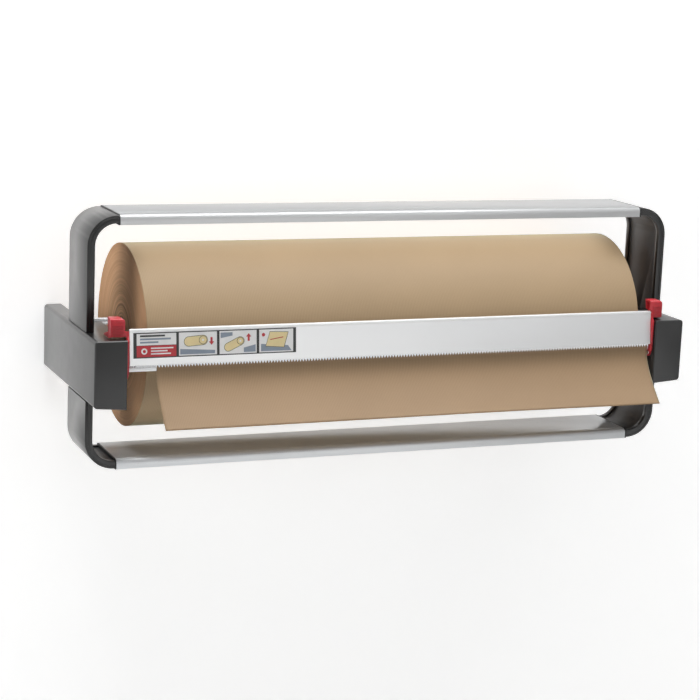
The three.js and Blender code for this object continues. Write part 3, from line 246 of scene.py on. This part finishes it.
def paper(name, colour):
    """Ribbed kraft paper: fine even ribs across its width, fibres, and slow patches."""
    finish = Finish(name)
    wave = finish.add("ShaderNodeTexWave", bands_direction="X", wave_profile="SIN")
    for socket, value in (("Vector", finish.place), ("Scale", RIB_SCALE), ("Distortion", 0.35),
                          ("Detail", 1.0), ("Detail Scale", 0.4)):
        finish.feed(wave.inputs[socket], value)
    ribs = wave.outputs["Fac"]
    fibres = finish.noise(1.0, 5.0, finish.scaled(FIBRE_SCALE), 0.7)
    patches = finish.noise(PATCH_SCALE, 4.0)
    base = finish.ramp(patches, (0.3, shade(colour, 0.95)), (0.7, shade(colour, 1.05)))
    # Painted shade: the paper is darker in the hollows between its ribs
    base = finish.mix(finish.ramp(ribs, (0.1, 0.22), (0.7, 0.0)), base, shade(colour, 0.70))
    base = finish.mix(finish.ramp(fibres, (0.50, 0.0), (0.75, 0.22)), base, shade(colour, 1.25))
    finish.set(Base_Color=base, Roughness=0.60, Specular_IOR_Level=0.45, Sheen_Weight=1.0,
               Sheen_Roughness=0.33, Sheen_Tint=KRAFT_SHEEN)
    finish.bump(ribs, 0.5, RIB_DEPTH)
    finish.bump(fibres, 0.2, FIBRE_DEPTH)
    return finish


kraft_finish = paper("kraft", KRAFT)
loose_finish = paper("kraft_loose", KRAFT_LOOSE)

roll_low, roll_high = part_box("paper_roll")
AXIS_Y = (roll_low.y + roll_high.y) / 2
AXIS_Z = (roll_low.z + roll_high.z) / 2
ROLL_RADIUS = (roll_high.z - roll_low.z) / 2

EDGE_DARK = (0.72, 0.41, 0.215)
EDGE_LIGHT = (0.82, 0.48, 0.26)
# Painted shade: the brown of the dark space between turns
GAP_SHADE_BROWN = (0.16, 0.085, 0.045)
BLACK = (0.0, 0.0, 0.0)
TURN_SCALE = 1400.0
BAND_SCALE = 230.0
TURN_WANDER = 8 * MM
TURN_DEPTH = 0.3 * MM
# The painted shade between the turns fades between these radii
GAP_SHADE_FROM, GAP_SHADE_TO = 30 * MM, 90 * MM


def roll_end(name):
    """The wound edge of the roll: one thin line for each of many turns, and painted shade
    between turns that is darker inside.
    """
    finish = Finish(name)
    _, y, z = finish.apart(finish.place)
    across = finish.maths("SUBTRACT", y, AXIS_Y)
    up = finish.maths("SUBTRACT", z, AXIS_Z)
    squares = [finish.maths("MULTIPLY", side, side) for side in (across, up)]
    radius = finish.maths("SQRT", finish.maths("ADD", *squares))
    wander = finish.maths("MULTIPLY_ADD", finish.noise(CLOUD_SCALE, 3.0), TURN_WANDER, radius)
    line = finish.add("ShaderNodeCombineXYZ")
    finish.feed(line.inputs["X"], wander)
    turns = finish.noise(TURN_SCALE, 3.0, line.outputs["Vector"], 0.7)
    bands = finish.noise(BAND_SCALE, 3.0, line.outputs["Vector"], 0.6)
    base = finish.ramp(turns, (0.30, EDGE_DARK), (0.60, EDGE_LIGHT))
    # Painted shade between the turns, strongest near the core
    inside = finish.ramp(radius, (GAP_SHADE_FROM, 0.9), (GAP_SHADE_TO, 0.10))
    gap_shade = finish.mix(finish.ramp(bands, (0.36, 1.0), (0.60, 0.0)), BLACK, inside)
    finish.set(Base_Color=finish.mix(gap_shade, base, GAP_SHADE_BROWN), Roughness=0.85)
    finish.bump(turns, 0.6, TURN_DEPTH)
    return finish


end_finish = roll_end("roll_end")
core_finish = roll_end("core_board")


# Solid pieces
WELD_DISTANCE = 0.002 * MM
BEVEL_SEGMENTS = 2
BEVEL_ANGLE = math.radians(32.0)


def soften(piece, width):
    """Joins split corners, rounds the edges and keeps the flat faces flat."""
    weld = piece.modifiers.new("weld", "WELD")
    weld.merge_threshold = WELD_DISTANCE
    bevel = piece.modifiers.new("bevel", "BEVEL")
    bevel.width = width
    bevel.segments = BEVEL_SEGMENTS
    bevel.limit_method = "ANGLE"
    bevel.angle_limit = BEVEL_ANGLE
    bevel.harden_normals = True
    bevel.use_clamp_overlap = True
    for polygon in piece.data.polygons:
        polygon.use_smooth = True


def dress(names, finish, edge):
    """Gives solids a finish and rounds their edges by so many millimetres."""
    for name in names:
        piece = NODE[name]
        piece.data.materials.clear()
        piece.data.materials.append(finish.material)
        if edge > 0:
            soften(piece, edge * MM)


def paired(*names):
    return [f"{side}_{name}" for name in names for side in ("right", "left")]


def on_arms(*names):
    return paired(*(f"{level}_{name}" for name in names for level in ("upper", "lower")))


dress(paired("housing"), housing_finish, 0.6)
dress(on_arms("arm_shell"), arm_finish, 0.7)
dress(on_arms("arm_band"), band_finish, 0.3)
dress(on_arms("rail_plug"), plate_finish, 0.3)
dress(on_arms("arm_screw", "plate_screw"), steel_finish, 0.15)
dress(paired("side_plate", "axle_saddle"), plate_finish, 0.25)
dress(paired("wall_bracket"), bracket_finish, 0.4)
dress(paired("bracket_screw", "guide_nut", "pivot_pin"), steel_finish, 0.15)
dress(paired("return_spring"), steel_finish, 0)
dress(paired("lever"), lever_finish, 0.35)
dress(["top_rail"], rail_finish, 0.35)
dress(["bottom_rail"], low_rail_finish, 0.35)
dress(["cutter_bar", "guide_bar"], bar_finish, 0.35)
dress(["serrated_blade"], blade_finish, 0.08)
dress(["axle_rod"], steel_finish, 0.2)
dress(["cardboard_core"], core_finish, 0.3)


# New pieces
def mesh_object(name, points, faces, finishes, smooth=True, finish_of=None):
    """A piece from its points and faces; finish_of says which finish each face has."""
    mesh = bpy.data.meshes.new(name)
    mesh.from_pydata([tuple(point) for point in points], [], faces)
    for finish in finishes:
        mesh.materials.append(finish.material)
    for polygon in mesh.polygons:
        polygon.use_smooth = smooth
        if finish_of:
            polygon.material_index = finish_of[polygon.index]
    mesh.update()
    piece = bpy.data.objects.new(name, mesh)
    bpy.context.scene.collection.objects.link(piece)
    return piece


# Kraft roll: a tube whose ends show the turns of paper as uneven steps
CORE_RADIUS = 29.3 * MM
TURNS = 74
ROUND_STEPS = 192
LENGTH_STEPS = 24
TURN_MIDDLE = 0.5 * MM
TURN_DEEPEST = 1.6 * MM
TURN_JUMP = 0.35
TURN_MEMORY = 0.82
OUTER_TURN_DEPTH = 0.35 * MM
ROLL_EDGE = 1.2 * MM


def turn_depths(rng):
    """How far each turn lies inside the roll's end, from the core outwards."""
    depths = []
    drift = 0.0
    for _ in range(TURNS + 1):
        drift = TURN_MEMORY * drift + rng.uniform(-TURN_JUMP, TURN_JUMP) * MM
        depths.append(min(max(TURN_MIDDLE + drift, 0.0), TURN_DEEPEST))
    depths[-1] = OUTER_TURN_DEPTH
    return depths


def roll_profile():
    """Closed outline of the roll's wall as (radius, x), and the number of points at an end."""
    rng = random.Random(7)
    x0, x1 = roll_low.x, roll_high.x
    radii = [CORE_RADIUS + (ROLL_RADIUS - CORE_RADIUS) * turn / TURNS for turn in range(TURNS + 1)]
    left = [(radius, x0 + depth) for radius, depth in zip(radii, turn_depths(rng))]
    right = [(radius, x1 - depth) for radius, depth in zip(radii, turn_depths(rng))]
    body = x1 - x0 - 2 * ROLL_EDGE
    along = [(ROLL_RADIUS, x0 + ROLL_EDGE + body * step / LENGTH_STEPS)
             for step in range(LENGTH_STEPS + 1)]
    return left + along + right[::-1], len(left)


def kraft_roll():
    profile, end_count = roll_profile()
    count = len(profile)
    points, faces, kinds = [], [], []
    for radius, x in profile:
        for step in range(ROUND_STEPS):
            angle = 2 * math.pi * step / ROUND_STEPS
            points.append((x, AXIS_Y + radius * math.sin(angle), AXIS_Z + radius * math.cos(angle)))
    for row in range(count):
        here = row * ROUND_STEPS
        there = (row + 1) % count * ROUND_STEPS
        on_body = end_count - 1 <= row < count - end_count
        for step in range(ROUND_STEPS):
            beside = (step + 1) % ROUND_STEPS
            faces.append((here + step, there + step, there + beside, here + beside))
            kinds.append(0 if on_body else 1)
    piece = mesh_object("kraft_roll", points, faces, [kraft_finish, end_finish],
                        finish_of=kinds)
    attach(piece, "roll")
    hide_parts("paper_roll")


kraft_roll()


# Loose end of the paper: the same path as its solid, thinner, with a soft wave
sheet_low, sheet_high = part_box("paper_sheet")
guide_low, guide_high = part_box("guide_bar")
SHEET_HALF_GAP = 0.25 * MM
SHEET_HALF_THICKNESS = 0.12 * MM
SHEET_COLUMNS = 150
CURL_STEPS = 40
RUN_STEPS = 6
DROP_STEPS = 3
GUIDE_Y = guide_low.y - 0.6 * MM
GUIDE_Z = guide_high.z - 2.5 * MM
# The sheet is held over this share of its length, and waves more and more below it
HELD_SHARE = 0.45
WAVE_HEIGHT = 1.1 * MM
WAVE_TURN = 9.0
WAVE_START = 0.7
CRUMPLE_HEIGHT = 0.8 * MM
CRUMPLE_ACROSS = 14.0
CRUMPLE_ALONG = 30.0
CRUMPLE_SEED = 3.0


def sheet_line():
    """Middle line of the loose end in (y, z), from its start near the roll to its free edge."""
    guide = Vector((GUIDE_Y, GUIDE_Z))
    below = Vector((GUIDE_Y, guide_low.z))
    start = Vector((sheet_high.y - SHEET_HALF_GAP, sheet_high.z - 0.3 * MM))
    end = Vector((sheet_low.y + 0.9 * MM, sheet_low.z + 0.4 * MM))
    bend = Vector((GUIDE_Y, (2 * below.y + end.y) / 3))
    line = [start + (guide - start) * step / RUN_STEPS for step in range(RUN_STEPS)]
    line += [guide + (below - guide) * step / DROP_STEPS for step in range(DROP_STEPS)]
    for step in range(CURL_STEPS + 1):
        share = step / CURL_STEPS
        line.append(below * (1 - share) ** 2 + bend * 2 * share * (1 - share) + end * share ** 2)
    return line


def sheet_wave(x, run, length):
    """How far the sheet stands out from its line, nothing where it is held."""
    free = max(0.0, (run / length - HELD_SHARE) / (1 - HELD_SHARE))
    wave = WAVE_HEIGHT * free * free * math.sin(x * WAVE_TURN + WAVE_START)
    spot = Vector((x * CRUMPLE_ACROSS, run * CRUMPLE_ALONG, CRUMPLE_SEED))
    return wave + CRUMPLE_HEIGHT * free * noise.noise(spot)


def sheet_face(line, length, half_thickness):
    """Points of one side of the sheet, row by row along its line."""
    x0, x1 = sheet_low.x, sheet_high.x
    points = []
    run = 0.0
    for index, point in enumerate(line):
        before, after = line[max(index - 1, 0)], line[min(index + 1, len(line) - 1)]
        if index:
            run += (point - before).length
        along = (after - before).normalized()
        outward = Vector((along.y, -along.x))
        for column in range(SHEET_COLUMNS + 1):
            x = x0 + (x1 - x0) * column / SHEET_COLUMNS
            place = point + outward * (sheet_wave(x, run, length) + half_thickness)
            points.append((x, place.x, place.y))
    return points


def loose_paper():
    line = sheet_line()
    length = sum((after - before).length for before, after in zip(line, line[1:]))
    points = sheet_face(line, length, SHEET_HALF_THICKNESS)
    other = len(points)
    points += sheet_face(line, length, -SHEET_HALF_THICKNESS)
    rows, width = len(line), SHEET_COLUMNS + 1
    faces = []
    for row in range(rows - 1):
        for column in range(SHEET_COLUMNS):
            a = row * width + column
            b, c, d = a + 1, a + width + 1, a + width
            faces.append((a, b, c, d))
            faces.append((other + a, other + d, other + c, other + b))
    rim = list(range(width))
    rim += [row * width + width - 1 for row in range(1, rows)]
    rim += [(rows - 1) * width + column for column in range(width - 2, -1, -1)]
    rim += [row * width for row in range(rows - 2, 0, -1)]
    for index, here in enumerate(rim):
        there = rim[(index + 1) % len(rim)]
        faces.append((here, other + here, other + there, there))
    piece = mesh_object("loose_paper", points, faces, [loose_finish])
    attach(piece, "frame")
    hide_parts("paper_sheet")


loose_paper()


# Label on the bar: a black frame, coloured panels and plain shapes
label_low, label_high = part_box("instruction_label")
BAR_TILT = 0.101
LABEL_LENGTH = label_high.x - label_low.x
LABEL_HEIGHT = 34.2 * MM
LABEL_THICKNESS = 0.3 * MM
UP = Vector((0, math.sin(BAR_TILT), math.cos(BAR_TILT)))
OUT = Vector((0, -math.cos(BAR_TILT), math.sin(BAR_TILT)))
LABEL_ORIGIN = Vector((label_low.x, label_low.y + LABEL_THICKNESS * math.cos(BAR_TILT),
                       label_low.z))
PLATE_THICKNESS = 0.05 * MM
LEVEL_STEP = 0.06 * MM
HALF_ROUND_STEPS = 12
# An arrow that points up, of size 1
ARROW = ((0, 1.1), (-0.75, 0.15), (-0.3, 0.15), (-0.3, -1.0), (0.3, -1.0), (0.3, 0.15),
         (0.75, 0.15))


def printed(name, colour):
    """Printed film: an even colour under a thin clear coat."""
    finish = Finish(name, Roughness=0.32, Coat_Weight=0.25, Coat_Roughness=0.2)
    finish.set(Base_Color=finish.ramp(finish.noise(60.0, 3.0), (0.3, shade(colour, 0.94)),
                                      (0.7, shade(colour, 1.05))))
    finish.bump(finish.noise(500.0, 2.0), 0.15, 0.02 * MM)
    return finish


INK = {
    "black": printed("label_black", (0.022, 0.022, 0.022)),
    "white": printed("label_white", (0.86, 0.86, 0.86)),
    "red": printed("label_red", (0.50, 0.026, 0.036)),
    "blue": printed("label_blue", (0.25, 0.30, 0.37)),
    "cream": printed("label_cream", (0.82, 0.68, 0.36)),
}


class Card:
    """Thin closed plates on a few levels. Panels and stripes are placed in shares of the label,
    and the shapes in a panel in millimetres from its middle."""

    def __init__(self):
        self.points, self.faces, self.kinds = [], [], []

    def plate(self, outline, level, colour):
        first = len(self.points)
        count = len(outline)
        front = PLATE_THICKNESS + LEVEL_STEP * level
        back = front - PLATE_THICKNESS
        for height in (front, back):
            for u, v in outline:
                self.points.append(LABEL_ORIGIN + Vector((u * LABEL_LENGTH, 0, 0))
                                   + UP * (v * LABEL_HEIGHT) + OUT * height)
        faces = [[first + index for index in range(count)],
                 [first + count + index for index in reversed(range(count))]]
        for index in range(count):
            here, there = first + index, first + (index + 1) % count
            faces.append([there, here, here + count, there + count])
        self.faces += faces
        self.kinds += [list(INK).index(colour)] * len(faces)

    def patch(self, u0, v0, u1, v1, level, colour):
        self.plate([(u0, v0), (u1, v0), (u1, v1), (u0, v1)], level, colour)

    def shape(self, middle, outline, level, colour):
        self.plate([(middle + x * MM / LABEL_LENGTH, 0.5 + z * MM / LABEL_HEIGHT)
                    for x, z in outline], level, colour)

    def capsule(self, middle, start, end, radius, level, colour):
        """A bar with round ends, from one point to another."""
        turn = math.atan2(end[1] - start[1], end[0] - start[0]) - math.pi / 2
        outline = []
        for (x, z), first in ((end, turn), (start, turn + math.pi)):
            for step in range(HALF_ROUND_STEPS + 1):
                angle = first + math.pi * step / HALF_ROUND_STEPS
                outline.append((x + radius * math.cos(angle), z + radius * math.sin(angle)))
        self.shape(middle, outline, level, colour)

    def disc(self, middle, centre, radius, level, colour):
        angles = [math.pi * step / HALF_ROUND_STEPS for step in range(2 * HALF_ROUND_STEPS)]
        outline = [(centre[0] + radius * math.cos(angle), centre[1] + radius * math.sin(angle))
                   for angle in angles]
        self.shape(middle, outline, level, colour)

    def arrow(self, middle, centre, size, level):
        """An arrow up, or down where its size is negative."""
        outline = [(centre[0] + size * x, centre[1] + size * z) for x, z in ARROW]
        self.shape(middle, outline, level, "red")

    def small_roll(self, middle, start, end, radius):
        self.capsule(middle, start, end, radius + 0.6, 3, "black")
        self.capsule(middle, start, end, radius, 4, "cream")
        self.disc(middle, end, radius - 0.5, 5, "black")
        self.disc(middle, end, radius - 1.1, 6, "cream")
        self.disc(middle, end, 1.5, 7, "white")


PANEL_LOW, PANEL_HIGH = 0.045, 0.955
TITLE = (0.020, 0.258)
PANELS = ((0.274, 0.506), (0.522, 0.752), (0.768, 0.982))
TITLE_STRIPES = ((0.190, "black"), (0.225, "blue"), (0.150, "blue"))
NOTE_STRIPES = (0.240, 0.205, 0.225)
RING_PLACE = 0.065


def draw_title(card):
    left, right = TITLE
    card.patch(left, 0.50, right, PANEL_HIGH, 1, "white")
    card.patch(left, PANEL_LOW, right, 0.485, 1, "red")
    for row, (end, colour) in enumerate(TITLE_STRIPES):
        down = 0.125 * row
        card.patch(0.040, 0.83 - down, end, 0.90 - down, 2, colour)
    card.disc(RING_PLACE, (0, -8.0), 4.2, 2, "white")
    card.disc(RING_PLACE, (0, -8.0), 2.2, 3, "red")
    for row, end in enumerate(NOTE_STRIPES):
        down = 0.11 * row
        card.patch(0.105, 0.355 - down, end, 0.405 - down, 2, "white")


def draw_panels(card):
    """Three plain pictures: a hung roll, a paper end that is threaded, and a torn sheet."""
    for start, end in PANELS:
        card.patch(start, PANEL_LOW, end, PANEL_HIGH, 1, "white")
    hang, thread, tear = ((start + end) / 2 for start, end in PANELS)
    card.shape(hang, [(-25, -14), (24, -14), (24, -9.5), (-25, -6.5)], 2, "blue")
    card.small_roll(hang, (-13.0, 3.2), (7.0, 4.6), 6.2)
    card.arrow(hang, (19.0, 3.0), -5.0, 3)
    card.shape(thread, [(-25, 6), (-8, 9), (-8, 13.5), (-25, 13.5)], 2, "blue")
    card.shape(thread, [(8, -14), (25, -14), (25, -4), (8, -8)], 2, "blue")
    card.small_roll(thread, (-14.0, -6.5), (3.0, 1.5), 5.4)
    card.arrow(thread, (15.0, 6.0), 5.0, 3)
    card.shape(tear, [(-22, -14), (22, -14), (17, -7), (-22, -4)], 2, "blue")
    card.shape(tear, [(-15.6, -7.6), (11.6, -9.6), (17.8, 11.6), (-9.4, 12.8)], 3, "black")
    card.shape(tear, [(-15, -7), (11, -9), (17, 11), (-9, 12.2)], 4, "cream")
    card.shape(tear, [(-9, 1.0), (10, 4.0), (10.4, 5.2), (-8.6, 2.2)], 5, "red")
    card.disc(tear, (-18.5, 8.5), 2.4, 3, "red")


def label_card():
    card = Card()
    card.patch(0, 0, 1, 1, 0, "black")
    draw_title(card)
    draw_panels(card)
    piece = mesh_object("label_card", card.points, card.faces, list(INK.values()), smooth=False,
                        finish_of=card.kinds)
    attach(piece, "cutter")
    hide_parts("instruction_label")


label_card()


# Room: a wall behind the object, clear from behind, and a pale floor far below it
WALL_Y = 1.5 * MM
WALL_SIDE = 6.0
WALL_TOP = 4.0
FLOOR_Z = -1.05
FLOOR_SIDE = 60.0
WALL_WHITE = (0.86, 0.86, 0.86)
FLOOR_PALE = (0.80, 0.80, 0.79)
# Distances from the object between which the planes go from their near to their far glow
GLOW_NEAR = 1.6
GLOW_FAR = 6.0


def seen_strength(tree, direct, in_gloss, unseen=0.0):
    """A strength that gains one share for rays from the camera or through something clear, and
    another for rays off gloss. Rays that only light the object have the unseen strength."""
    path = tree.nodes.new("ShaderNodeLightPath")
    straight = maths_node(tree, "MAXIMUM", path.outputs["Is Camera Ray"],
                          path.outputs["Is Transmission Ray"])
    gloss = maths_node(tree, "MULTIPLY_ADD", path.outputs["Is Glossy Ray"], in_gloss, unseen)
    return maths_node(tree, "MULTIPLY_ADD", straight, direct, gloss)


def plain(name, colour, near, far, in_gloss):
    """A matt surface that keeps the shadows. The camera and reflections see it paler, and the
    camera sees it paler still far from the object, where the lamps don't reach."""
    finish = Finish(name, Base_Color=colour, Roughness=0.8, Emission_Color=(1.0, 1.0, 1.0))
    distance = finish.add("ShaderNodeVectorMath", operation="LENGTH")
    finish.feed(distance.inputs["Vector"], finish.place)
    glow = finish.add("ShaderNodeMapRange", interpolation_type="SMOOTHSTEP")
    for socket, value in (("Value", distance.outputs["Value"]), ("From Min", GLOW_NEAR),
                          ("From Max", GLOW_FAR), ("To Min", near), ("To Max", far)):
        finish.feed(glow.inputs[socket], value)
    finish.set(Emission_Strength=seen_strength(finish.tree, glow.outputs["Result"], in_gloss))
    return finish


def clear_from_behind(finish):
    front_first = finish.add("ShaderNodeMixShader")
    side = finish.add("ShaderNodeNewGeometry")
    clear = finish.add("ShaderNodeBsdfTransparent")
    finish.feed(front_first.inputs["Fac"], side.outputs["Backfacing"])
    finish.feed(front_first.inputs[1], finish.shader.outputs["BSDF"])
    finish.feed(front_first.inputs[2], clear.outputs["BSDF"])
    finish.feed(finish.output.inputs["Surface"], front_first.outputs["Shader"])


def room_plane(name, corners, finish):
    mesh_object(name, corners, [(0, 1, 2, 3)], [finish], smooth=False)


# The strengths in gloss are set so that the dark and the pale faces look like the
# photograph's. The camera sees other strengths than the reflections do.
wall_finish = plain("wall_white", WALL_WHITE, near=0.50, far=0.80, in_gloss=0.61)
clear_from_behind(wall_finish)
floor_finish = plain("floor_pale", FLOOR_PALE, near=0.42, far=0.90, in_gloss=0.42)
room_plane("wall", [(-WALL_SIDE, WALL_Y, FLOOR_Z), (WALL_SIDE, WALL_Y, FLOOR_Z),
                    (WALL_SIDE, WALL_Y, WALL_TOP), (-WALL_SIDE, WALL_Y, WALL_TOP)], wall_finish)
room_plane("floor", [(-FLOOR_SIDE, -FLOOR_SIDE, FLOOR_Z), (FLOOR_SIDE, -FLOOR_SIDE, FLOOR_Z),
                     (FLOOR_SIDE, FLOOR_SIDE, FLOOR_Z), (-FLOOR_SIDE, FLOOR_SIDE, FLOOR_Z)],
           floor_finish)


# Light
WORLD_LIGHT = 0.09
WORLD_IN_GLOSS = 0.36
WORLD_WHITE = 1.0


def lamp(name, place, target, size, watts):
    light = bpy.data.lights.new(name, "AREA")
    light.shape = "RECTANGLE"
    light.size, light.size_y = size
    light.energy = watts
    holder = bpy.data.objects.new(name, light)
    holder.location = place
    holder.rotation_euler = (Vector(target) - Vector(place)).to_track_quat("-Z", "Y").to_euler()
    bpy.context.scene.collection.objects.link(holder)
    return holder


def let_through(holder, piece):
    """The lamp's light passes the piece, so the piece throws no shadow of it."""
    passed = bpy.data.collections.new("let_through")
    passed.objects.link(piece)
    holder.light_linking.blocker_collection = passed
    passed.collection_objects[0].light_linking.link_state = "EXCLUDE"


def light_world():
    world = bpy.data.worlds.new("room_light")
    world.use_nodes = True
    background = world.node_tree.nodes["Background"]
    strength = seen_strength(world.node_tree, WORLD_WHITE - WORLD_LIGHT, WORLD_IN_GLOSS,
                             WORLD_LIGHT)
    feed(world.node_tree, background.inputs["Color"], (1.0, 1.0, 1.0, 1.0))
    feed(world.node_tree, background.inputs["Strength"], strength)
    bpy.context.scene.world = world


ceiling = lamp("ceiling", (0.1, -0.52, 2.3), target=(0, -0.10, 0), size=(3.0, 1.4), watts=78)
lamp("key", (1.15, -2.6, 0.38), target=(0, -0.15, 0), size=(1.8, 1.2), watts=4.5)
lamp("low", (0.5, -2.2, -0.75), target=(0, -0.17, -0.17), size=(2.2, 0.6), watts=3.0)
lamp("fill", (-3.0, -1.0, 0.4), target=(0, -0.15, 0), size=(1.8, 1.8), watts=20)
let_through(ceiling, NODE["top_rail"])
light_world()
bpy.context.scene.view_settings.view_transform = "Standard"


# Camera, fitted to points of the photograph
CAMERA_PLACE = Vector((-1.1254, -2.8210, 0.5335))
YAW, PITCH, ROLL = 0.3895, 0.200, -0.040
PHOTO_WIDTH = 700.0
FOCAL_PIXELS = 2030.0
SENSOR_WIDTH = 36.0
CLIP_NEAR, CLIP_FAR = 0.05, 60.0


def photo_camera():
    forward = Vector((math.sin(YAW) * math.cos(PITCH), math.cos(YAW) * math.cos(PITCH),
                      -math.sin(PITCH)))
    right = Vector((math.cos(YAW), -math.sin(YAW), 0.0))
    down = forward.cross(right)
    across = right * math.cos(ROLL) + down * math.sin(ROLL)
    downward = down * math.cos(ROLL) - right * math.sin(ROLL)
    data = bpy.data.cameras.new("camera")
    data.sensor_fit = "HORIZONTAL"
    data.sensor_width = SENSOR_WIDTH
    data.lens = FOCAL_PIXELS * SENSOR_WIDTH / PHOTO_WIDTH
    data.clip_start, data.clip_end = CLIP_NEAR, CLIP_FAR
    camera = bpy.data.objects.new("camera", data)
    turn = Matrix((across, -downward, -forward)).transposed()
    camera.matrix_world = Matrix.Translation(CAMERA_PLACE) @ turn.to_4x4()
    bpy.context.scene.collection.objects.link(camera)
    bpy.context.scene.camera = camera


photo_camera()
